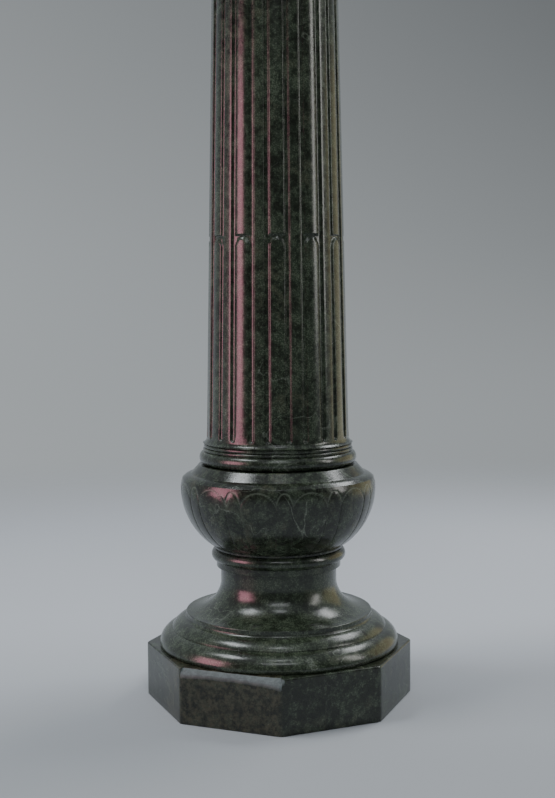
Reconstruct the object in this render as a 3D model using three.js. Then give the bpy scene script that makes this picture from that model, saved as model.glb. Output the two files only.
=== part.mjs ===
// A dark green serpentine pedestal column, in millimetres, +Z up, standing on z = 0.
// From below: an octagonal plinth, a turned foot, a carved bulb, a ribbed tapering
// shaft, a turned capital and an octagonal abacus. A corner of the plinth faces -Y.
import * as THREE from 'three';

// Joints: the six stones stand on each other with a fine joint between them, and each
// carved stone sits a degree or so turned on the one below it
const joint = 0.3;
const bulbTurn = 2.9;
const shaftTurn = 0.9;

// Polished edges and inner corners are eased by this much
const ease = 1;

// Rolls are cut this far round, above and below their middle, in degrees
const degrees = Math.PI / 180;
const rollReach = 70;

// Plinth, an octagonal slab with a broken top arris
const plinthAcrossFlats = 300;
const plinthHeight = 65;
const plinthArris = 4;

// Foot, two stacked ovolos, a lip, a deep cavetto into the neck, and a collar
const footReveal = 4.5;
const baseOvoloRest = 5.4;
const baseOvoloReach = 15.5;
const baseOvoloHeight = 21.5;
const baseOvoloSwell = 3.4;
const upperOvoloReach = 16.3;
const upperOvoloHeight = 12;
const upperOvoloSwell = 2;
const lipStep = 1.7;
const lipHeight = 7.5;
const dishStart = 84;
const cavettoHeight = 37;
const neckRadius = 70.5;
const neckHeight = 16.8;
const neckFilletStep = 5;
const neckFilletHeight = 7.4;
const collarReach = 11.1;
const collarRoll = 7.9;
const collarRadius = neckRadius + collarReach;
const collarTopRadius = collarRadius - collarRoll * (1 - Math.cos(rollReach * degrees));

// Shaft, tapering, with twelve ribs between sunk grooves; the ribs of the lowest
// third end in domed stops, and go on above a short gap
const shaftRadius = 86;
const shaftTaper = 0.0214;
const shaftFootReach = 9.2;
const shaftFootRoll = 6.5;
const shaftFootHeight = 16;
const shaftBeadReach = 4.8;
const shaftBeadHeight = 3.8;
const shaftRingReach = 3.8;
const shaftRingHeight = 4.8;
const shaftBandFlare = 2;
const shaftBandHeight = 6.8;
const ribCount = 12;
const ribShare = 0.41;
const ribCrown = 0.7;
const grooveShare = 0.145;
const grooveDepth = 2.6;
const cableLength = 236;
const cableTopShare = 0.3;
const stopGap = 4.5;
const upperRibLength = 472;
const shaftNeckHeight = 26;
const shaftTopRingStep = 4;
const shaftTopRingHeight = 8;
const shaftFootRadius = shaftRadius + shaftFootReach;

// Bulb, a cup with twelve round tongues and twelve pointed ones between them, from
// the foot's collar out to a rim, a shoulder and a slope in to the shaft's foot
const seatLedge = 0.8;
const bulbSeatHeight = 2;
const bulbCurve = 84;
const bulbRimHeight = 10.6;
const bulbShoulderReach = 12.6;
const bulbShoulderHeight = 5.7;
const bulbArrisReach = 2.9;
const bulbArrisHeight = 1.6;
const bulbSlopeReach = 9.6;
const bulbSlopeHeight = 11.9;
const tongueCount = 12;
const tongueRimGap = 4.5;
const tongueGap = 3.4;
const tongueCrown = 0.3;
const tongueSink = 1.4;
const pointWidth = 15.6;
const pointTaper = 0.7;
const closedShare = 0.04;
const bulbSeatRadius = collarTopRadius + seatLedge;
const bulbSlopeRadius = shaftFootRadius + seatLedge;
const bulbRadius = bulbSlopeRadius + bulbSlopeReach + bulbShoulderReach;

// Abacus, an octagonal slab
const abacusAcrossFlats = 250;
const abacusHeight = 38;
const abacusArris = 3;

// Capital, a neck and fillets under a wide echinus that stops short of the abacus
const capitalNeckHeight = 8;
const capitalFilletStep = 5;
const capitalFilletHeight = 5;
const echinusHeight = 36;
const echinusRim = 3;
const abacusReveal = 8;

// How finely round work is cut
const slabSides = 8;
const turnedSides = 36;
const columnsPerUnit = 8;
const ovoloFacets = 3;
const cavettoFacets = 5;
const collarFacets = 4;
const shaftRollFacets = 3;
const tongueFacets = 5;
const domeFacets = 3;
const echinusFacets = 6;

// Colours of the polished stone, as each piece shows it
const plinthGreen = 0x2f3a33;
const footGreen = 0x2c382e;
const bulbGreen = 0x33413a;
const shaftGreen = 0x2a362c;
const polish = 0.16;

const at = (radius, height) => new THREE.Vector2(radius, height);

// Points along a stretch of an oval about a centre, between two angles in degrees
function arc(centre, reach, rise, from, to, steps) {
  const points = [];
  for (let step = 0; step <= steps; step++) {
    const angle = (from + ((to - from) * step) / steps) * degrees;
    points.push(at(centre.x + reach * Math.cos(angle), centre.y + rise * Math.sin(angle)));
  }
  return points;
}

// Points from one place to another along a bow that swells outwards on the right
function bow(from, to, swell, steps) {
  const across = to.clone().sub(from);
  const half = across.length() / 2;
  const radius = (half ** 2 + swell ** 2) / (2 * swell);
  const sweep = Math.asin(half / radius);
  const outward = at(across.y, -across.x).normalize();
  const centre = from.clone().add(to).divideScalar(2).addScaledVector(outward, swell - radius);
  const points = [];
  for (let step = 0; step <= steps; step++) {
    const angle = sweep * ((2 * step) / steps - 1);
    points.push(outward.clone().rotateAround(at(0, 0), angle).multiplyScalar(radius).add(centre));
  }
  return points;
}

// Turns a profile that starts and ends on the axis, with +Z up
function turned(profile, sides) {
  return new THREE.LatheGeometry(profile, sides).rotateX(Math.PI / 2);
}

// Turns a profile, then moves each point of each ring to its place in the carving.
// place(ring, column) gives the point's angle and radius.
function carved(rings, columns, place) {
  const geometry = new THREE.LatheGeometry(rings.map((ring) => at(ring.radius, ring.height)), columns);
  const position = geometry.attributes.position;
  for (let column = 0; column <= columns; column++) {
    rings.forEach((ring, index) => {
      const point = place(ring, column % columns);
      const x = point.radius * Math.sin(point.angle);
      const z = point.radius * Math.cos(point.angle);
      position.setXYZ(column * rings.length + index, x, ring.height, z);
    });
  }
  return geometry.rotateX(Math.PI / 2);
}

// A column's unit of the carving, and its place there from 0 at one middle to half
// of columnsPerUnit at the next and back again
function unitPlace(column) {
  const half = columnsPerUnit / 2;
  const place = column % columnsPerUnit;
  const mirrored = place > half;
  return {
    unit: Math.floor(column / columnsPerUnit),
    side: mirrored ? columnsPerUnit - place : place,
    mirrored,
  };
}

const column = new THREE.Group();
column.name = 'pedestal_column';

function addPiece(name, geometry, color, height, turn = 0) {
  const material = new THREE.MeshStandardMaterial({ color, roughness: polish, metalness: 0 });
  const mesh = new THREE.Mesh(geometry, material);
  mesh.name = name;
  mesh.position.z = height;
  mesh.rotation.z = turn * degrees;
  column.add(mesh);
}

// An eight-sided slab with a corner at -Y: a profile turned with eight sides
function octagonSlab(acrossFlats, height, arris) {
  const corner = 1 / Math.cos(Math.PI / slabSides);
  const flat = acrossFlats / 2;
  return turned([
    at(0, 0),
    at(flat * corner, 0),
    at(flat * corner, height - arris),
    at((flat - arris) * corner, height),
    at(0, height),
  ], slabSides);
}

function footProfile() {
  const outer = plinthAcrossFlats / 2 - footReveal;
  const upperTop = baseOvoloHeight + upperOvoloHeight;
  const lipTop = upperTop + lipHeight;
  const neckStart = lipTop + cavettoHeight;
  const neckEnd = neckStart + neckHeight;
  const filletEnd = neckEnd + neckFilletHeight;
  const rollMiddle = filletEnd + collarRoll;
  const baseInner = outer - baseOvoloReach;
  const upperOuter = baseInner + ease;
  const upperInner = upperOuter - upperOvoloReach;
  const lipRadius = upperInner - lipStep;
  const filletRadius = neckRadius + neckFilletStep;
  const baseOvolo = bow(at(outer, baseOvoloRest), at(baseInner, baseOvoloHeight),
    baseOvoloSwell, ovoloFacets);
  const upperOvolo = bow(at(upperOuter, baseOvoloHeight + ease), at(upperInner, upperTop),
    upperOvoloSwell, ovoloFacets);
  const cavetto = arc(at(lipRadius, neckStart), neckRadius - lipRadius, -cavettoHeight,
    dishStart, 0, cavettoFacets);
  const collarMiddle = at(collarRadius - collarRoll, rollMiddle);
  const collar = arc(collarMiddle, collarRoll, collarRoll, -rollReach, rollReach, collarFacets);
  const top = collar.at(-1).y;
  return {
    points: [
      at(0, 0),
      at(outer - ease, 0),
      ...baseOvolo,
      ...upperOvolo,
      at(lipRadius, upperTop + lipStep),
      at(lipRadius, lipTop - ease),
      ...cavetto,
      at(neckRadius + ease, neckEnd - ease),
      at(filletRadius, neckEnd),
      at(filletRadius, filletEnd - ease / 2),
      ...collar,
      at(0, top),
    ],
    height: top,
  };
}

// The bulb's rings carry how much of each tongue's width is left at that height, and
// how much of the sinking around the tongues
function bulbRings() {
  const arcCentre = bulbRadius - bulbCurve;
  const belly = bulbSeatHeight + Math.sqrt(bulbCurve ** 2 - (bulbSeatRadius - arcCentre) ** 2);
  const rimEdge = belly + bulbRimHeight;
  const top = rimEdge + bulbShoulderHeight + bulbSlopeHeight;
  const tongueTop = rimEdge - tongueRimGap;
  const tongueHalf = (bulbRadius * Math.PI) / tongueCount - pointWidth / 2 - tongueGap;
  const tongueSpring = tongueTop - tongueHalf;
  const radiusAt = (height) => arcCentre + Math.sqrt(bulbCurve ** 2 - Math.max(belly - height, 0) ** 2);
  const smooth = (radius, height, width) => ({ radius, height, width, sink: 0 });
  const cut = (height, width) => ({ radius: radiusAt(height), height, width, sink: 1 });
  const rings = [smooth(0, 0, 1), smooth(bulbSeatRadius, 0, 1), smooth(bulbSeatRadius, bulbSeatHeight, 1)];
  for (let step = 1; step <= tongueFacets; step++) {
    rings.push(cut(bulbSeatHeight + ((tongueSpring - bulbSeatHeight) * step) / tongueFacets, 1));
  }
  for (let step = 1; step < domeFacets; step++) {
    const angle = (Math.PI / 2) * (step / domeFacets);
    rings.push(cut(tongueSpring + tongueHalf * Math.sin(angle), Math.cos(angle)));
  }
  rings.push(cut(tongueTop, closedShare), smooth(bulbRadius - ease, rimEdge, closedShare));
  const shoulder = [
    at(bulbRadius - bulbArrisReach, rimEdge + bulbArrisHeight),
    at(bulbRadius - bulbShoulderReach, rimEdge + bulbShoulderHeight),
    at(bulbSlopeRadius, top),
    at(0, top),
  ];
  for (const point of shoulder) rings.push(smooth(point.x, point.y, closedShare));
  return { rings, height: top };
}

// From a round tongue's middle: its edge, the sunk line, the pointed tongue's edge and
// its middle, and back again
function bulbPoint(ring, column) {
  const { unit, side, mirrored } = unitPlace(column);
  const pitch = 360 / tongueCount;
  const around = Math.max(ring.radius, bulbSeatRadius) * degrees;
  const pointHalf = pointWidth / 2 / around;
  const gap = tongueGap / around;
  const roundEdge = (pitch / 2 - pointHalf - gap) * ring.width;
  const sunkLine = pitch / 2 - pointHalf - gap / 2;
  const pointEdge = pitch / 2 - pointHalf * ring.width ** pointTaper;
  const offset = [0, roundEdge, sunkLine, pointEdge, pitch / 2][side];
  const drop = [0, tongueCrown, tongueSink, tongueCrown, 0][side];
  const middle = (unit + 1 / 2) * pitch;
  return {
    angle: (middle + (mirrored ? pitch - offset : offset)) * degrees,
    radius: ring.radius === 0 ? 0 : ring.radius - drop * ring.sink,
  };
}

// The shaft's rings carry how much of each rib's width is left at that height, how
// much of the grooves' depth, and how much of the rib's
function shaftRings() {
  const beadTop = shaftFootHeight + shaftBeadHeight;
  const ringTop = beadTop + shaftRingHeight;
  const ribStart = ringTop + shaftBandHeight;
  const stopTop = ribStart + cableLength;
  const upperStart = stopTop + stopGap;
  const upperEnd = upperStart + upperRibLength;
  const neckEnd = upperEnd + shaftNeckHeight;
  const top = neckEnd + shaftTopRingHeight;
  const radiusAt = (height) => shaftRadius - (height - ribStart) * shaftTaper;
  const topRadius = radiusAt(neckEnd);
  const ribHalf = (radiusAt(stopTop) * Math.PI * ribShare) / ribCount;
  const stopSpring = stopTop - ribHalf;
  const plain = (radius, height) => ({ radius, height, width: 1, groove: 0, rib: 1 });
  const cut = (height, width, rib) => ({ radius: radiusAt(height), height, width, groove: 1, rib });
  const rollCentre = at(shaftFootRadius - shaftFootRoll, shaftFootHeight / 2);
  const roll = arc(rollCentre, shaftFootRoll, shaftFootHeight / 2, -rollReach, rollReach, shaftRollFacets);
  const rings = [
    plain(0, 0),
    plain(roll[0].x, 0),
    ...roll.slice(1).map((point) => plain(point.x, point.y)),
    plain(shaftRadius + shaftBeadReach, shaftFootHeight + ease / 2),
    plain(shaftRadius + shaftBeadReach, beadTop - ease),
    plain(shaftRadius + shaftRingReach - ease, beadTop),
    plain(shaftRadius + shaftRingReach, beadTop + shaftRingHeight / 2),
    plain(shaftRadius + shaftBandFlare, ringTop),
    plain(shaftRadius + ease, ribStart),
    cut(ribStart + 2 * ease, 1, 1),
    cut(stopSpring, 1, 1),
  ];
  for (let step = 1; step < domeFacets; step++) {
    const angle = (Math.PI / 2) * (step / domeFacets);
    rings.push(cut(stopSpring + ribHalf * Math.sin(angle), Math.cos(angle), 1));
  }
  rings.push(
    cut(stopTop, cableTopShare, 0),
    cut(upperStart, 1, 0),
    cut(upperStart + ease, 1, 1),
    cut(upperEnd, 1, 1),
    plain(radiusAt(upperEnd + 2 * ease), upperEnd + 2 * ease),
    plain(topRadius + ease, neckEnd),
    plain(topRadius + shaftTopRingStep, neckEnd + shaftTopRingHeight / 2),
    plain(topRadius + ease, top),
    plain(0, top),
  );
  return { rings, height: top, topRadius };
}

// From a rib's middle: its edge, the groove's floor, the edge of the land beside it and
// the land's middle, and back again
function shaftPoint(ring, column) {
  const { unit, side, mirrored } = unitPlace(column);
  const pitch = 360 / ribCount;
  const ribEdge = (pitch * ribShare) / 2;
  const grooveWidth = pitch * grooveShare;
  const offset = [0, ribEdge * ring.width, ribEdge + grooveWidth / 2, ribEdge + grooveWidth, pitch / 2][side];
  const ribTop = grooveDepth * (1 - ring.rib);
  const ribSide = ribTop + ribCrown * ring.rib;
  const drop = [ribTop, ribSide, grooveDepth, 0, 0][side];
  return {
    angle: (unit * pitch + (mirrored ? pitch - offset : offset)) * degrees,
    radius: ring.radius === 0 ? 0 : ring.radius - drop * ring.groove,
  };
}

function capitalProfile(neck) {
  const fillet = neck + capitalFilletStep;
  const filletTop = capitalNeckHeight + capitalFilletHeight;
  const top = filletTop + echinusHeight;
  const echinusStart = fillet + ease;
  const echinusRadius = abacusAcrossFlats / 2 - abacusReveal;
  const echinus = arc(at(echinusStart, top - echinusRim), echinusRadius - echinusStart,
    echinusRim - echinusHeight, 90, 0, echinusFacets);
  return {
    points: [
      at(0, 0),
      at(neck, 0),
      at(neck, capitalNeckHeight - ease),
      at(fillet, capitalNeckHeight),
      at(fillet, filletTop),
      ...echinus,
      at(echinusRadius - 2 * ease, top),
      at(0, top),
    ],
    height: top,
  };
}

let level = 0;
addPiece('plinth', octagonSlab(plinthAcrossFlats, plinthHeight, plinthArris), plinthGreen, level);
level += plinthHeight + joint;

const foot = footProfile();
addPiece('foot', turned(foot.points, turnedSides), footGreen, level);
level += foot.height + joint;

const bulb = bulbRings();
addPiece('bulb', carved(bulb.rings, tongueCount * columnsPerUnit, bulbPoint), bulbGreen, level, bulbTurn);
level += bulb.height + joint;

const shaft = shaftRings();
addPiece('shaft', carved(shaft.rings, ribCount * columnsPerUnit, shaftPoint), shaftGreen, level, shaftTurn);
level += shaft.height + joint;

const capital = capitalProfile(shaft.topRadius);
addPiece('capital', turned(capital.points, turnedSides), footGreen, level);
level += capital.height + joint;

addPiece('abacus', octagonSlab(abacusAcrossFlats, abacusHeight, abacusArris), plinthGreen, level);

export default column;
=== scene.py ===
import math

import bpy
import numpy as np
from mathutils import Matrix, Vector, noise


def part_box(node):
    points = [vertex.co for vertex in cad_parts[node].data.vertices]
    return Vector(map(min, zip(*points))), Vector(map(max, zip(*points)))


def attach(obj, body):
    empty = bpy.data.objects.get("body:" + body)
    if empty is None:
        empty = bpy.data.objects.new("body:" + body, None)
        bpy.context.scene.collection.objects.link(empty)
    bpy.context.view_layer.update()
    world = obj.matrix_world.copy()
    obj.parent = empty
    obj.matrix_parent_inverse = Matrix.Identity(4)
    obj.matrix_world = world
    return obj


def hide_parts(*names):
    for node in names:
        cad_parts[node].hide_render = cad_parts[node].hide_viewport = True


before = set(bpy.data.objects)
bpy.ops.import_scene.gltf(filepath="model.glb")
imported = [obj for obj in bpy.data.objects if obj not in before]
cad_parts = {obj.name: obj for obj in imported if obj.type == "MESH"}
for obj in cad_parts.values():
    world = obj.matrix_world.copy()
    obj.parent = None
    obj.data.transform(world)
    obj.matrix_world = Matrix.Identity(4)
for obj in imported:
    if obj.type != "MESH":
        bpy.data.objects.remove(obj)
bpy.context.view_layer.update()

# Plinth: an octagonal slab of the same serpentine as the rest, sawn and polished, which
# carries the column on its own weight. Its top arris has been knocked and worn away
# along one face, and a flake is gone from the front corner.
mm = 0.001
slab_sides = 8
slab_side_columns = 64
slab_corner_sharpness = 150
slab_column_crowding = 0.85
slab_foot_round = 1.2
plinth_arris = 2
slab_foot_rings = 4
slab_wall_rings = 12
slab_arris_rings = 22
slab_top_rings = 10
slab_top_reach = 0.6
worn_corner_drop = 9.5
worn_middle_drop = 4.4
worn_far_drop = 7
worn_corner_share = 0.1
worn_far_share = 0.12
worn_wave = 0.9
worn_waves = 9
worn_wave_seed = (3.1, 0.7)
worn_lean = 0.85
worn_straightness = 0.6
worn_roughness = 0.45
worn_lumps = 0.45
worn_grit = 1.1
chip_drop = 12
chip_right = 5
chip_left = 14
sharp_edge = 38


def levels(node):
    """The heights of a stone's bottom and top."""
    low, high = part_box(node)
    return low[2] / mm, high[2] / mm


def half_width(node):
    """The reach of a stone from the column's axis."""
    low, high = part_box(node)
    return (high[0] - low[0]) / 2 / mm


def set_round(angle, radius, height):
    """The points at these angles, radii and heights about the column's axis."""
    angle, radius, height = np.broadcast_arrays(angle, radius, height)
    return np.stack([radius * np.sin(angle), -radius * np.cos(angle), height], axis=-1)


def stone(name, node, grid, material, marks=None):
    """One stone's closed mesh from rings of points, bottom to top, in place of its node.
    The marks, from 0 to 1, say how far the tools or knocks have changed each point's finish; on
    the bulb they also set where a paler painted highlight lies along the cut."""
    rings, columns, _ = grid.shape
    count = rings * columns
    bottom = [0, 0, grid[0, :, 2].mean()]
    top = [0, 0, grid[-1, :, 2].mean()]
    points = np.concatenate([grid.reshape(-1, 3), [bottom, top]]) * mm
    near = np.arange(columns)
    far = (near + 1) % columns
    faces = []
    for ring in range(rings - 1):
        low = ring * columns
        high = low + columns
        faces += np.stack([low + near, low + far, high + far, high + near], axis=1).tolist()
    faces += np.stack([np.full(columns, count), far, near], axis=1).tolist()
    last = count - columns
    faces += np.stack([np.full(columns, count + 1), last + near, last + far], axis=1).tolist()
    mesh = bpy.data.meshes.new(name)
    mesh.from_pydata(points.tolist(), [], faces)
    mesh.shade_smooth()
    mesh.set_sharp_from_angle(angle=math.radians(sharp_edge))
    mesh.materials.append(material)
    if marks is not None:
        layer = mesh.attributes.new("marks", "FLOAT", "POINT")
        layer.data.foreach_set("value", np.append(marks.ravel(), [0, 0]).astype(np.float32))
    piece = bpy.data.objects.new(name, mesh)
    bpy.context.scene.collection.objects.link(piece)
    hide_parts(node)
    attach(piece, "root")


class Wire:
    """A shader socket that takes part in Python expressions."""

    def __init__(self, tree, socket=None):
        self.tree = tree
        self.socket = socket

    def node(self, kind, settings=None, sockets=None, output=0):
        """A new node, with its settings first and then its sockets' values or links."""
        made = self.tree.nodes.new(kind)
        for name, value in (settings or {}).items():
            setattr(made, name, value)
        for name, value in (sockets or {}).items():
            if isinstance(value, Wire):
                self.tree.links.new(value.socket, made.inputs[name])
            else:
                made.inputs[name].default_value = value
        return Wire(self.tree, made.outputs[output] if len(made.outputs) else None)

    def maths(self, operation, *values):
        """The result of one sum on numbers or sockets."""
        return self.node("ShaderNodeMath", {"operation": operation}, dict(enumerate(values)))

    def __add__(self, other):
        return self.maths("ADD", self, other)

    __radd__ = __add__

    def __mul__(self, other):
        return self.maths("MULTIPLY", self, other)

    __rmul__ = __mul__

    def __sub__(self, other):
        return self.maths("SUBTRACT", self, other)

    def __rsub__(self, other):
        return self.maths("SUBTRACT", other, self)

    def __abs__(self):
        return self.maths("ABSOLUTE", self)

    def band(self, low, high):
        """Goes smoothly from 0, where this value is at low, to 1, where it is at high."""
        sockets = {"Value": self, "From Min": low, "From Max": high}
        return self.node("ShaderNodeMapRange", {"interpolation_type": "SMOOTHSTEP"}, sockets)

    def mix(self, first, second):
        """The colour that goes from the first to the second as this value goes from 0 to 1."""
        sockets = {0: self, 6: first, 7: second}
        return self.node("ShaderNodeMix", {"data_type": "RGBA"}, sockets, output=2)

    def moved(self, other):
        """This vector with another one added."""
        return self.node("ShaderNodeVectorMath", {"operation": "ADD"}, {0: self, 1: other})

    def grown(self, size):
        """This vector times a number."""
        return self.node("ShaderNodeVectorMath", {"operation": "SCALE"}, {0: self, "Scale": size})

    def axis(self, name):
        """One axis of this vector."""
        return self.node("ShaderNodeSeparateXYZ", None, {0: self}, output=name)

    def noise(self, scale, detail, roughness=0.5, distortion=0.0, output=0):
        """Noise over this place, at so many marks to the metre."""
        sockets = {"Vector": self, "Scale": scale, "Detail": detail}
        sockets.update({"Roughness": roughness, "Distortion": distortion})
        return self.node("ShaderNodeTexNoise", None, sockets, output)


def colour(red, green, blue):
    """An opaque colour, with each part from 0 to 1 as a share of the light sent back."""
    return (red, green, blue, 1.0)


black_ground = colour(0.015, 0.018, 0.011)
green_ground = colour(0.045, 0.061, 0.038)
green_crystal = colour(0.125, 0.155, 0.1)
olive_stain = colour(0.088, 0.075, 0.046)
pale_vein = colour(0.24, 0.27, 0.21)
cloud_marks = 11
mottle_marks = 68
blot_marks = 210
grain_marks = 620
stain_marks = 23
hair_marks = 17
thread_marks = 38
drift_marks = 14
drift_reach = 0.04
grit_marks = 500
polish_roughness = 0.18
polish_change = 0.05
refraction = 1.56
bump_strength = 0.16
bump_height = 0.0003


def serpentine(name, shift, brown=0.35, brown_side=None, veins=1.0, lift=0.0, mark=None):
    """Polished serpentine: a near black ground, green clouds and crystals, olive stains and
    hair veins. The shift gives each stone its own part of the block, the lift makes it
    greener, and brown_side stains the front face on the left. The mark is the colour and the
    dullness of the points that the mesh marks."""
    material = bpy.data.materials.new(name)
    material.use_nodes = True
    tree = material.node_tree
    tree.nodes.clear()
    shader = tree.nodes.new("ShaderNodeBsdfPrincipled")
    output = tree.nodes.new("ShaderNodeOutputMaterial")
    tree.links.new(shader.outputs[0], output.inputs[0])

    own = Wire(tree).node("ShaderNodeTexCoord", output="Object")
    place = own.moved(shift)
    drift = place.noise(drift_marks, 3, output=1).grown(drift_reach)
    wandering = place.moved(drift)

    cloud = place.noise(cloud_marks, 4, 0.55).band(0.34, 0.68)
    mottle = wandering.noise(mottle_marks, 8, 0.66).band(0.4, 0.63)
    blot = place.noise(blot_marks, 5, 0.7).band(0.42, 0.64)
    grain = place.noise(grain_marks, 3, 0.75).band(0.42, 0.68)
    tone = cloud * 0.18 + mottle * 0.38 + blot * 0.24 + grain * 0.14 + lift
    ground = tone.band(0.12, 0.66).mix(black_ground, green_ground)
    green = (tone * (0.6 + 0.8 * grain)).band(0.4, 0.95).mix(ground, green_crystal)

    stain = (place.noise(stain_marks, 5, 0.6).band(0.44, 0.66) * mottle).band(0.1, 0.9) * brown
    if brown_side is not None:
        face = own.axis("X").band(0.003, -0.003) * own.axis("Y").band(-0.05, -0.09)
        stain = stain + face * brown_side * (mottle * 0.3 + blot * 0.9)
    earth = stain.mix(green, olive_stain)

    hair = abs(wandering.noise(hair_marks, 2, 0.5, 0.25) - 0.5).band(0.006, 0.0015)
    hair = hair * place.noise(8, 2).band(0.5, 0.62)
    thread = abs(wandering.noise(thread_marks, 3, 0.55, 0.5) - 0.5).band(0.011, 0.002)
    thread = thread * place.noise(19, 2).band(0.5, 0.64) * 0.5
    vein = (hair + thread) * veins * (0.25 + 0.75 * grain)
    veined = vein.mix(earth, pale_vein)

    roughness = polish_roughness + polish_change * grain + polish_change * mottle
    height = grain * 0.25 + mottle
    if mark is not None:
        tint, dulling = mark
        marks = own.node("ShaderNodeAttribute", {"attribute_name": "marks"}, output="Fac")
        roughness = roughness + marks * dulling
        veined = (marks * (0.72 + 0.28 * blot)).mix(veined, tint)
        height = height + marks * place.noise(grit_marks, 5, 0.7) * 4

    sockets = {"Height": height, "Strength": bump_strength, "Distance": bump_height}
    bump = Wire(tree).node("ShaderNodeBump", None, sockets)
    tree.links.new(veined.socket, shader.inputs["Base Color"])
    tree.links.new(roughness.socket, shader.inputs["Roughness"])
    tree.links.new(bump.socket, shader.inputs["Normal"])
    shader.inputs["IOR"].default_value = refraction
    return material


def octagon(angle, flat):
    """The radius of an eight-sided slab with slightly rounded corners, at each angle."""
    faces = (np.arange(slab_sides) + 0.5) * 2 * math.pi / slab_sides
    lean = np.clip(np.cos(angle[:, None] - faces), 0, None)
    share = (lean ** slab_corner_sharpness).sum(axis=1)
    return flat * share ** (-1 / slab_corner_sharpness)


def slab_angles():
    """The angles of a slab's columns of points, crowded together at its corners."""
    step = np.arange(slab_side_columns) / slab_side_columns
    crowded = step - slab_column_crowding * np.sin(2 * math.pi * step) / (2 * math.pi)
    sides = np.arange(slab_sides)[:, None]
    return ((sides + crowded) * 2 * math.pi / slab_sides).ravel()


def slab(node, drop, lean, straightness):
    """A slab's rings of points. Its top arris takes away the drop at each angle from the wall
    and the lean times the drop from the top, on a round line or a straighter one."""
    angle = slab_angles()
    bottom, top = levels(node)
    flat = half_width(node) * math.cos(math.pi / slab_sides)
    radius = octagon(angle, flat)
    rings = []
    for turn in np.linspace(0, math.pi / 2, slab_foot_rings):
        inset = slab_foot_round * (1 - math.sin(turn))
        height = bottom + slab_foot_round * (1 - math.cos(turn))
        rings.append((radius - inset, height + 0 * angle))
    wall_foot = bottom + slab_foot_round
    for share in np.linspace(0, 1, slab_wall_rings)[1:]:
        rings.append((radius, wall_foot + share * (top - drop - wall_foot)))
    inset = drop * lean
    for step in np.linspace(0, 1, slab_arris_rings)[1:]:
        turn = step * math.pi / 2
        inward = straightness * step + (1 - straightness) * (1 - math.cos(turn))
        upward = straightness * step + (1 - straightness) * math.sin(turn)
        rings.append((radius - inset * inward, top - drop * (1 - upward)))
    for share in np.linspace(0, slab_top_reach, slab_top_rings)[1:]:
        rings.append(((radius - inset) * (1 - share), top + 0 * angle))
    radii, heights = (np.array(part) for part in zip(*rings))
    return set_round(angle, radii, heights)


def worn_face(angle):
    """Which angles are on the worn face, left of the front corner, and how far along it."""
    width = 2 * math.pi / slab_sides
    back = (2 * math.pi - angle) % (2 * math.pi)
    return (back > 0.0005) & (back < width * 0.999), np.clip(back / width, 0, 1)


def plinth_grid():
    """The plinth's rings of points, and marks where its arris is worn or chipped."""
    worn, along = worn_face(slab_angles())
    near_corner = np.exp(-along / worn_corner_share)
    far_corner = np.exp(-(1 - along) / worn_far_share)
    drop = worn_middle_drop + (worn_corner_drop - worn_middle_drop) * near_corner
    drop = drop + (worn_far_drop - worn_middle_drop) * far_corner
    wave = [noise.noise(Vector((share * worn_waves, *worn_wave_seed))) for share in along]
    drop = drop + worn_wave * np.array(wave)
    drop = np.where(worn, drop, plinth_arris)
    lean = np.where(worn, worn_lean, 1.0)
    straightness = np.where(worn, worn_straightness, 0.0)
    grid = slab("plinth", drop, lean, straightness)

    top = levels("plinth")[1]
    reach = half_width("plinth")
    corner = np.array([0, -reach, top])
    half_turn = math.pi / slab_sides
    below = corner + [0, 0, -chip_drop]
    right = corner + chip_right * np.array([math.cos(half_turn), math.sin(half_turn), 0])
    left = corner + chip_left * np.array([-math.cos(half_turn), math.sin(half_turn), 0])
    facing = np.cross(right - below, left - below)
    facing = facing / np.linalg.norm(facing)
    if facing[2] < 0:
        facing = -facing
    over = (grid - below) @ facing
    chipped = over > 0
    grid[chipped] -= over[chipped][:, None] * facing

    edge = (grid[:, :, 2] > top - drop - 0.5) & (grid[:, :, 2] < top - 0.05) & worn
    for ring, column in np.argwhere(edge | chipped):
        point = grid[ring, column]
        rough = noise.noise(Vector(point * worn_lumps))
        rough = rough + 0.6 * noise.noise(Vector(point * worn_grit))
        outward = np.array([point[0], point[1], reach]) / (reach * 1.4)
        grid[ring, column] = point - outward * worn_roughness * (0.5 + rough)
    return grid, (edge | chipped).astype(float)


plinth_points, plinth_marks = plinth_grid()
knocked = (colour(0.25, 0.29, 0.29), 0.55)
plinth_stone = serpentine("plinth_serpentine", (0.31, 0.12, 0.4), 0.25, 0.85, 0.6, mark=knocked)
stone("plinth_slab", "plinth", plinth_points, plinth_stone, plinth_marks)

# Foot: one stone turned on a lathe and polished, with two ovolos, a lip, a deep dish up
# to a narrow neck, and a collar that the bulb sits on. It stands on the plinth's top.
turned_columns = 256
edge_ease = 0.9
corner_steps = 5
sharp_turn = 16
foot_seat = 120
roll_centre = (138.61, 4.17)
roll_radius = 7
ovolo_centre = (125.74, 1.88)
ovolo_radius = 20.07
upper_ovolo_foot = (130.4, 22.5)
upper_ovolo_top = (114.7, 33.4)
upper_ovolo_swell = 2
lip_radius = 113
lip_foot = 35.1
lip_top = 41
dish_top = 78
neck_radius = 70.5
neck_foot = 86
fillet_radius = 75.5
fillet_foot = 94.8
fillet_top = 102.2
collar_centre = (73.7, 110.1)
collar_radius = 7.9
collar_seat = 60


def arc(centre, reach, rise, start, end, steps):
    """Points along an oval about a centre, between two angles in degrees."""
    turns = np.radians(np.linspace(start, end, steps + 1))
    across, up = centre
    return [(across + reach * math.cos(turn), up + rise * math.sin(turn)) for turn in turns]


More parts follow.
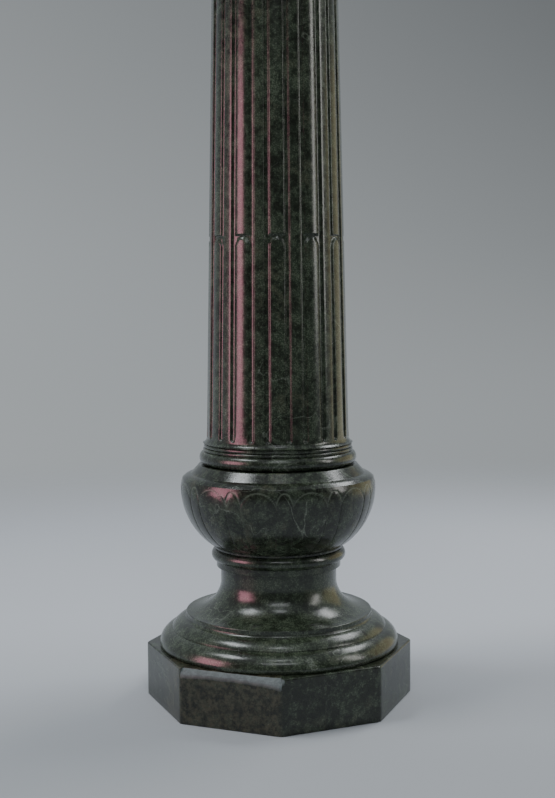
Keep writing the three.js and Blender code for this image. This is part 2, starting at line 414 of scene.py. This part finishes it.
def bow(start, end, swell, steps):
    """Points from one place to another along a line that swells to the right."""
    start, end = np.array(start, float), np.array(end, float)
    across = end - start
    half = np.linalg.norm(across) / 2
    radius = (half ** 2 + swell ** 2) / (2 * swell)
    outward = np.array([across[1], -across[0]]) / (2 * half)
    centre = (start + end) / 2 + outward * (swell - radius)
    along = across / (2 * half)
    turns = np.linspace(-1, 1, steps + 1) * math.asin(half / radius)
    lines = [outward * math.cos(turn) + along * math.sin(turn) for turn in turns]
    return [tuple(centre + radius * line) for line in lines]


def eased(outline, reach=edge_ease, steps=corner_steps):
    """The outline with each sharp turn rounded off, and a point kept just outside each one."""
    points = [np.array(point, float) for point in outline]
    made = [points[0]]
    for before, corner, after in zip(points, points[1:], points[2:]):
        back, ahead = before - corner, after - corner
        back_length, ahead_length = np.linalg.norm(back), np.linalg.norm(ahead)
        turn = math.pi - math.acos(np.clip(back @ ahead / (back_length * ahead_length), -1, 1))
        if math.degrees(turn) < sharp_turn:
            made.append(corner)
            continue
        cut = min(reach, back_length * 0.4, ahead_length * 0.4)
        start = corner + back * cut / back_length
        end = corner + ahead * cut / ahead_length
        made.append(corner + back * cut * 1.25 / back_length)
        for share in np.linspace(0, 1, steps + 1):
            rest = 1 - share
            made.append(start * rest ** 2 + 2 * corner * share * rest + end * share ** 2)
        made.append(corner + ahead * cut * 1.25 / ahead_length)
    made.append(points[-1])
    return np.array(made)


def turned(node, outline):
    """A turned stone's rings of points, from an outline above the stone's bottom."""
    angle = np.arange(turned_columns) * 2 * math.pi / turned_columns
    bottom = levels(node)[0]
    return set_round(angle[None, :], outline[:, 0, None], bottom + outline[:, 1, None])


foot_height = levels("foot")[1] - levels("foot")[0]
foot_outline = [
    (foot_seat, 0),
    *arc(roll_centre, roll_radius, roll_radius, -36.5, 10.1, 8),
    *arc(ovolo_centre, ovolo_radius, ovolo_radius, 10.1, 77.7, 16)[1:],
    *bow(upper_ovolo_foot, upper_ovolo_top, upper_ovolo_swell, 12),
    (lip_radius, lip_foot),
    (lip_radius, lip_top),
    *arc((lip_radius, dish_top), neck_radius - lip_radius, lip_top - dish_top, 86, 0, 30),
    (neck_radius, neck_foot),
    (neck_radius, fillet_foot),
    (fillet_radius, fillet_foot),
    (fillet_radius, fillet_top),
    *arc(collar_centre, collar_radius, collar_radius, -72, 70, 18),
    (collar_seat, foot_height),
]
foot_stone = serpentine("foot_serpentine", (1.7, 0.35, 0.9), 0.2, lift=0.17)
stone("foot_turning", "foot", turned("foot", eased(foot_outline)), foot_stone)

# Bulb: one stone turned to a cup and then carved by hand with twelve broad round tongues
# and twelve narrow pointed ones, parted by a fine V cut. It sits on the foot's collar.
bulb_turn = 2.9
tongues = 12
bulb_curve = 84
bulb_seat = 77.2
bulb_rest = 2
bulb_flat = 0.15
rim_height = 12.2
rim_curve = 34
shoulder = (105.4, 91.6)
shoulder_swell = 0.9
shoulder_ease = 1.2
slope_radius = 96
seat_width = 20
tongue_top = 80.3
tongue_gap = 3.4
cut_width = 2.2
cut_top_depth = 0.45
cut_low_depth = 0.7
tongue_round = 0.12
tongue_round_reach = 5
point_width = 15.6
point_height = 12
lower_rings = 26
ring_step = 0.62


def mirrored(half):
    """Half of a carved unit's columns, and the same ones back again."""
    return np.concatenate([half, half[:, -2:0:-1]], axis=1)


def carved_round(radii, heights, drop, share, units, first, turn):
    """A stone's rings of points, from half of one carved unit. The share is how far round its
    unit each column stands, and the drop is how far it is cut below the stone's radius."""
    share = np.concatenate([share, 1 - share[:, -2:0:-1]], axis=1)
    unit = np.arange(units)[None, :, None] + first
    angle = (unit + share[:, None, :]) * 2 * math.pi / units + math.radians(turn)
    radius = np.broadcast_to((radii[:, None] - mirrored(drop))[:, None, :], angle.shape)
    rings = len(radii)
    return set_round(angle.reshape(rings, -1), radius.reshape(rings, -1), heights[:, None])


def bulb_grid():
    """The bulb's rings of points, and marks along the scored line over its tongues' tops, where
    the line gets a paler painted highlight. The flats of its solid lie a little inside the true
    round."""
    bottom, top = levels("bulb")
    bulb_radius = half_width("bulb") + bulb_flat
    curve_centre = bulb_radius - bulb_curve
    belly = bulb_rest + math.sqrt(bulb_curve ** 2 - (bulb_seat - curve_centre) ** 2)
    rim = belly + rim_height
    point_half = point_width / 2
    tongue_half = bulb_radius * math.pi / tongues - point_half - tongue_gap
    spring = tongue_top - tongue_half

    lower = np.linspace(bulb_rest + 0.6, spring - 3, lower_rings)
    upper = np.arange(spring - 2.4, rim - 0.7, ring_step)
    heights = np.concatenate([lower, upper])
    radii = curve_centre + np.sqrt(bulb_curve ** 2 - np.clip(belly - heights, 0, None) ** 2)
    radii = radii - rim_curve + np.sqrt(rim_curve ** 2 - np.clip(heights - belly, 0, None) ** 2)
    rim_radius = bulb_radius - rim_curve + math.sqrt(rim_curve ** 2 - rim_height ** 2)
    over = eased([
        (rim_radius + 0.4, rim - 0.8),
        (rim_radius, rim),
        *bow((rim_radius - 0.8, rim + 0.5), shoulder, shoulder_swell, 10),
        (slope_radius, top - bottom),
        (slope_radius - seat_width, top - bottom),
    ], shoulder_ease, 3)
    under = np.array([(bulb_seat - 12, 0), (bulb_seat, 0), (bulb_seat, bulb_rest)])
    radii = np.concatenate([under[:, 0], radii, over[1:, 0]])
    heights = np.concatenate([under[:, 1], heights, over[1:, 1]])

    place = np.array([0, 0.18, 0.36, 0.52, 0.66, 0.78, 0.87, 0.94, 1])
    cut = np.array([0.17, 0.34, 0.5, 0.66, 0.83])
    tip = np.array([1, 0.93, 0.84, 0.72, 0.56, 0.38, 0.19, 0])
    around = np.maximum(radii, bulb_seat)[:, None]
    half = around * math.pi / tongues
    round_half = half - point_half - tongue_gap
    offset = np.concatenate([
        place * round_half,
        round_half + cut * tongue_gap,
        half - tip * point_half,
    ], axis=1)
    from_point = half - offset
    rise = np.clip(heights - spring, 0, None)[:, None]
    limit = np.where(heights[:, None] > spring, tongue_half, round_half)
    in_round = limit - np.hypot(offset, rise)
    below_tip = (tongue_top - heights)[:, None] / point_height
    inside = below_tip - (from_point / point_half) ** 2
    slope = np.hypot(1 / point_height, 2 * from_point / point_half ** 2)
    in_point = np.minimum(point_half - from_point, inside / slope)
    depth = np.maximum(in_round, in_point)
    cut_share = np.clip(1 - np.abs(depth + tongue_gap / 2) / (cut_width / 2), 0, 1)
    lowness = np.clip((tongue_top - heights) / tongue_half, 0, 1)[:, None]
    cut_depth = cut_top_depth + (cut_low_depth - cut_top_depth) * lowness
    fall = np.clip(1 - depth / tongue_round_reach, 0, 1) ** 2 * (depth > 0)
    outside = np.clip(1 + depth / tongue_gap, 0, 1) * (depth <= 0)
    drop = cut_depth * cut_share + tongue_round * (fall + outside)
    drop[heights > rim - 0.9] = 0
    drop[heights <= bulb_rest] = 0
    # Marks for the cut line's painted highlight, strongest at the tongue tops and fading down
    # their sides.
    marks = cut_share * (1 - lowness) * (heights < rim - 0.9)[:, None]
    share = offset / half / 2
    grid = carved_round(radii, bottom + heights, drop, share, tongues, 0.5, bulb_turn)
    return grid, np.tile(mirrored(marks), (1, tongues))


bulb_points, bulb_marks = bulb_grid()
# The cut line is duller, and it is painted paler as a painted highlight where overhead light
# catches the cut's lip.
cut_dulling_and_highlight = (colour(0.17, 0.2, 0.145), 0.15)
bulb_stone = serpentine("bulb_serpentine", (0.9, 2.2, 0.15), 0.45, veins=1.3, mark=cut_dulling_and_highlight)
stone("bulb_carving", "bulb", bulb_points, bulb_stone, bulb_marks)

# Shaft: one tapering stone with a turned foot, carved with twelve ribs that lie between
# sunk grooves. The ribs of the lowest third end in domed stops and go on above a gap.
shaft_turn = -0.1
ribs = 12
shaft_radius = 86
shaft_taper = 0.0214
rib_share = 0.41
rib_crown = 0.85
groove_share = 0.145
groove_depth = 2.9
rib_edge = 1.1
land_edge = 0.9
dome_edge = 3.2
square_edge = 1
stop_slope = 0.68
rib_start = 31.4
cable_length = 236
stop_gap = 4.5
upper_rib = 472
shaft_neck = 26
shaft_ring = 8
shaft_ease = 0.5
rib_edge_steps = 4
shaft_seat = 70
torus_centre = (88.7, 8)
lower_ring_centre = (89.0, 17.9)
upper_ring_centre = (88.0, 22.2)
flare_centre = (92.6, 32)
stop_step = 0.68
end_step = 0.8
stop_top = rib_start + cable_length
upper_start = stop_top + stop_gap
upper_end = upper_start + upper_rib
neck_end = upper_end + shaft_neck


def shaft_reach(height):
    """The tapering shaft's radius at a height above its bottom."""
    return shaft_radius - (height - rib_start) * shaft_taper


def shaft_grid():
    """The shaft's rings of points: its turned foot, the carved length, and a plain neck."""
    bottom, top = levels("shaft")
    rib_half = shaft_reach(stop_top) * math.pi * rib_share / ribs
    spring = stop_top - rib_half

    low = eased([
        (shaft_seat, 0),
        *arc(torus_centre, 6.5, 8, -80, 80, 14),
        *arc(lower_ring_centre, 1.8, 1.9, -70, 70, 6),
        *arc(upper_ring_centre, 1.9, 2.4, -75, 75, 7),
        *arc(flare_centre, -6.3, -6.6, 75, 10, 5),
    ], shaft_ease, 2)
    low = low[low[:, 1] < rib_start - 0.8]
    starts = np.arange(rib_start - 0.4, rib_start + 7, end_step)
    lower = np.linspace(rib_start + 9, spring - 4, 6)
    stops = np.concatenate([
        np.arange(spring - 2.5, upper_start - 0.5, stop_step),
        upper_start + square_edge * np.array([-0.12, 0, 0.05, 0.19, 0.41, 0.69, 1, 1.5]),
    ])
    upper = np.linspace(upper_start + 6, upper_end - 9, 8)
    ends = np.arange(upper_end - 7, upper_end + 1, end_step)
    cut_heights = np.concatenate([starts, lower, stops, upper, ends])
    neck = shaft_reach(neck_end)
    high = eased([
        (shaft_reach(upper_end + 2), upper_end + 2),
        (neck + 0.8, neck_end - 6),
        (neck + 2.6, neck_end - 1),
        *arc((neck + 1, neck_end + shaft_ring / 2), 3, shaft_ring / 2, -60, 60, 8),
        (neck + 0.5, top - bottom),
        (neck - seat_width, top - bottom),
    ], shaft_ease, 2)
    radii = np.concatenate([low[:, 0], shaft_reach(cut_heights), high[:, 0]])
    heights = np.concatenate([low[:, 1], cut_heights, high[:, 1]])
    carved = np.zeros(len(heights), bool)
    carved[len(low):len(low) + len(cut_heights)] = True

    swing = 1 - np.cos(np.linspace(0, math.pi / 2, rib_edge_steps))
    around = np.where(carved, radii, shaft_radius)[:, None]
    half = around * math.pi / ribs
    own_rib = half * rib_share
    groove = half * 2 * groove_share
    middle = own_rib + groove / 2
    land = own_rib + groove
    offset = np.concatenate([
        np.array([0, 0.3, 0.56, 0.76]) * own_rib,
        own_rib - swing[::-1] * rib_edge,
        own_rib + np.array([0.045, 0.16, 0.32, 0.5, 0.68, 0.84, 0.955]) * groove,
        land + swing * land_edge,
        land + land_edge + np.array([0.5, 1]) * (half - land - land_edge),
    ], axis=1)
    tall = heights[:, None]
    below_start = rib_start + groove / 2 + 1 - tall
    over_end = np.maximum(below_start, tall - (upper_end - groove / 2 - 1))
    beside = np.hypot(offset - middle, np.clip(over_end, 0, None)) - groove / 2
    above_spring = np.clip(tall - spring, 0, None)
    dome = rib_half - np.hypot(offset, above_spring)
    square = tall - upper_start
    rib_side = offset < middle
    near_stop = rib_side & (tall > spring)
    square_part = near_stop & (square > dome)
    beside = np.where(near_stop, np.minimum(beside, np.maximum(dome, square)), beside)
    stop_edge = rib_edge + (dome_edge - rib_edge) * np.clip(above_spring / rib_half, 0, 1)
    edge = np.where(near_stop & ~square_part, stop_edge, np.where(rib_side, rib_edge, land_edge))
    edge = np.where(square_part & (square < own_rib - offset), square_edge, edge)
    over_dome = np.clip(1 - (offset / own_rib) ** 2, 0, 1) * (near_stop & ~square_part)
    over_dome = over_dome * np.clip(1.5 * above_spring / rib_half, 0, 1)
    lip = np.minimum(edge, groove_depth * 0.85) * (1 - stop_slope * over_dome)
    rolled = lip * (1 - np.sqrt(1 - (1 - np.clip(beside / edge, 0, 1)) ** 2))
    hollow = np.sqrt(1 - (1 - np.clip(-2 * beside / groove, 0, 1)) ** 2)
    across_gap = np.clip(-dome / np.maximum(-dome - square, 0.1), 0, 1)
    sunk = (groove_depth - lip) * (hollow + (across_gap - hollow) * over_dome)
    crown = rib_crown * np.clip(offset / own_rib, 0, 1) ** 2 * rib_side
    fade = np.clip(-over_end / 8, 0, 1) * (beside > 0)
    drop = rolled + sunk * (beside < 0) + crown * fade * (1 - rolled / groove_depth)
    drop[~carved] = 0
    share = offset / half / 2
    return carved_round(radii, bottom + heights, drop, share, ribs, 0, shaft_turn)


shaft_stone = serpentine("shaft_serpentine", (0.2, 0.6, 1.4), 0.35, veins=0.9, lift=0.12)
stone("shaft_carving", "shaft", shaft_grid(), shaft_stone)

# Capital: one turned stone, a short neck and fillet under a wide echinus. It sits on the
# shaft's top ring and carries the abacus.
capital_fillet = 5
capital_neck_height = 8
echinus_height = 36
echinus_rim = 3


def capital_outline():
    """The capital's outline: a neck, a fillet, and an echinus that swells out to its rim."""
    bottom, top = levels("capital")
    height = top - bottom
    reach = half_width("capital")
    neck = shaft_reach(neck_end)
    fillet = neck + capital_fillet
    fillet_top = height - echinus_height
    rim = height - echinus_rim
    return eased([
        (neck - seat_width, 0),
        (neck, 0),
        (neck, capital_neck_height),
        (fillet, capital_neck_height),
        (fillet, fillet_top),
        *arc((fillet + 1, rim), reach - fillet - 1, echinus_rim - echinus_height, 88, 0, 28),
        (reach, rim + 1),
        (reach - 2, height),
        (reach - 30, height),
    ])


capital_stone = serpentine("capital_serpentine", (2.4, 1.1, 0.5))
capital_points = turned("capital", capital_outline())
stone("capital_turning", "capital", capital_points, capital_stone)

# Abacus: an octagonal slab of the same serpentine with eased edges, which lies on the
# capital and carries what the pedestal holds up.
abacus_arris = 2.4
abacus_stone = serpentine("abacus_serpentine", (3.1, 0.4, 1.9), 0.3)
abacus_points = slab("abacus", np.full(len(slab_angles()), abacus_arris), 1.0, 0.0)
stone("abacus_slab", "abacus", abacus_points, abacus_stone)

# Floor: a pale studio floor that the plinth stands on, with painted shade that makes it darker
#  towards the front and paler behind, as the lamps' light falls off over it. It fades into the
#  background before it ends, so that no horizon shows.
floor_radius = 4.2
floor_sides = 96
fade_start = 1.0
fade_end = 2.4
painted_shade_front_y = -0.3
painted_shade_back_y = 0.4
near_painted_shade_grey = colour(0.57, 0.59, 0.61)
far_painted_light_grey = colour(0.78, 0.805, 0.845)
floor_mesh = bpy.data.meshes.new("floor")
floor_turns = np.linspace(0, 2 * math.pi, floor_sides, endpoint=False)
floor_ring = [(math.cos(turn), math.sin(turn)) for turn in floor_turns]
floor_points = [(0, 0, 0)] + [(x * floor_radius, y * floor_radius, 0) for x, y in floor_ring]
floor_faces = [(0, 1 + step, 1 + (step + 1) % floor_sides) for step in range(floor_sides)]
floor_mesh.from_pydata(floor_points, [], floor_faces)
floor = bpy.data.objects.new("floor", floor_mesh)
bpy.context.scene.collection.objects.link(floor)
floor_paint = bpy.data.materials.new("floor_paint")
floor_paint.use_nodes = True
floor_tree = floor_paint.node_tree
floor_shader = floor_tree.nodes["Principled BSDF"]
floor_place = Wire(floor_tree).node("ShaderNodeTexCoord", output="Object")
length = {"operation": "LENGTH"}
distance = floor_place.node("ShaderNodeVectorMath", length, {0: floor_place}, output="Value")
floor_tree.links.new(distance.band(fade_end, fade_start).socket, floor_shader.inputs["Alpha"])
# Painted shade and light: the floor's grey goes from darker at the front to paler behind, for how
# the lamps light it.
floor_painted_falloff = floor_place.axis("Y").band(painted_shade_front_y, painted_shade_back_y).mix(near_painted_shade_grey, far_painted_light_grey)
floor_tree.links.new(floor_painted_falloff.socket, floor_shader.inputs["Base Color"])
floor_shader.inputs["Roughness"].default_value = 0.6
floor_shader.inputs["Specular IOR Level"].default_value = 0.0
floor_mesh.materials.append(floor_paint)

# Light: the camera sees a plain grey background. The stone sees a grey studio, with soft
# boxes overhead, a tall rose strip to the left, a white strip and a gold card to the right.
low_glow = 0.385
glow_fall = 0.17
wall_tint = colour(0.941, 1.008, 1.05)
front_grey = colour(0.1, 0.105, 0.11)
back_grey = colour(0.5, 0.54, 0.58)
ceiling_grey = colour(0.3, 0.32, 0.35)
cool = (0.93, 0.97, 1.0)
white = (0.96, 0.98, 1.0)
warm_white = (1.0, 0.98, 0.95)
rose = (1.0, 0.43, 0.54)
gold = (1.0, 0.82, 0.32)
world = bpy.data.worlds.new("studio")
bpy.context.scene.world = world
world.use_nodes = True
studio = world.node_tree
studio.nodes.clear()
look = Wire(studio).node("ShaderNodeTexCoord", output="Generated")
up = look.axis("Z")
side = look.axis("X")
behind = look.axis("Y")
glow = low_glow - glow_fall * up.band(-0.14, 0.33)
glow = glow - side * (0.14 + 0.17 * up.band(-0.1, 0.06))
wall = glow.mix(colour(0, 0, 0), wall_tint)
room = behind.band(-0.6, 0.6).mix(front_grey, back_grey)
room = room.grown(1 - (0.2 + 0.25 * side.band(0.1, 0.8)) * up.band(-0.06, 0.08))
room = up.band(0.35, 0.9).mix(room, ceiling_grey)
seen = Wire(studio).node("ShaderNodeLightPath", output="Is Camera Ray")
backdrop = seen.mix(room, wall)
background = Wire(studio).node("ShaderNodeBackground", None, {"Color": backdrop})
Wire(studio).node("ShaderNodeOutputWorld", None, {"Surface": background})


def softbox(name, angle, elevation, distance, size, glow, tint, aim=0.35, diffuse=True):
    """A rectangular light that faces the column's axis at the height of its aim, from an
    angle and an elevation in degrees. One that isn't diffuse shows in reflections only."""
    turn, tilt = math.radians(angle), math.radians(elevation)
    level = math.cos(tilt)
    away = Vector((level * math.sin(turn), -level * math.cos(turn), math.sin(tilt)))
    lamp = bpy.data.lights.new(name, "AREA")
    lamp.shape = "RECTANGLE"
    lamp.size, lamp.size_y = size
    lamp.energy = glow * math.pi * size[0] * size[1]
    lamp.color = tint
    light = bpy.data.objects.new(name, lamp)
    light.location = Vector((0, 0, aim)) + away * distance
    light.rotation_euler = away.to_track_quat("Z", "Y").to_euler()
    light.visible_camera = False
    light.visible_diffuse = diffuse
    bpy.context.scene.collection.objects.link(light)


softbox("overhead_front", 1, 62, 2.2, (0.4, 0.25), 10, cool)
softbox("front_high", 0, 38, 2.4, (1.2, 0.3), 5, cool)
softbox("overhead_left", -80, 57, 2.3, (0.9, 0.5), 12, cool)
softbox("overhead_right", 125, 45, 2.3, (1.3, 0.45), 9, white)
softbox("rose_strip", -68, 15, 2.1, (1.0, 1.15), 6.5, rose, aim=0.05, diffuse=False)
softbox("white_strip", 76, 22, 2.1, (0.42, 1.1), 6, warm_white, aim=0.2, diffuse=False)
softbox("gold_card", 116, 10, 2.1, (1.7, 1.4), 0.6, gold, aim=0.1, diffuse=False)

# Camera: level with the column's lower half and a little above it, at the distance that
# the photograph was taken from.
lens = 57.14
sensor = 36
eye = Vector((-0.0160, -1.5285, 0.48908))
camera_swing = -0.6
camera_tilt = 85.274
camera_roll = -0.385
camera_data = bpy.data.cameras.new("camera")
camera_data.lens = lens
camera_data.sensor_width = sensor
camera = bpy.data.objects.new("camera", camera_data)
swing = Matrix.Rotation(math.radians(camera_swing), 4, "Z")
tilt = Matrix.Rotation(math.radians(camera_tilt), 4, "X")
roll = Matrix.Rotation(math.radians(camera_roll), 4, "Z")
camera.matrix_world = Matrix.Translation(eye) @ swing @ tilt @ roll
bpy.context.scene.collection.objects.link(camera)
bpy.context.scene.camera = camera
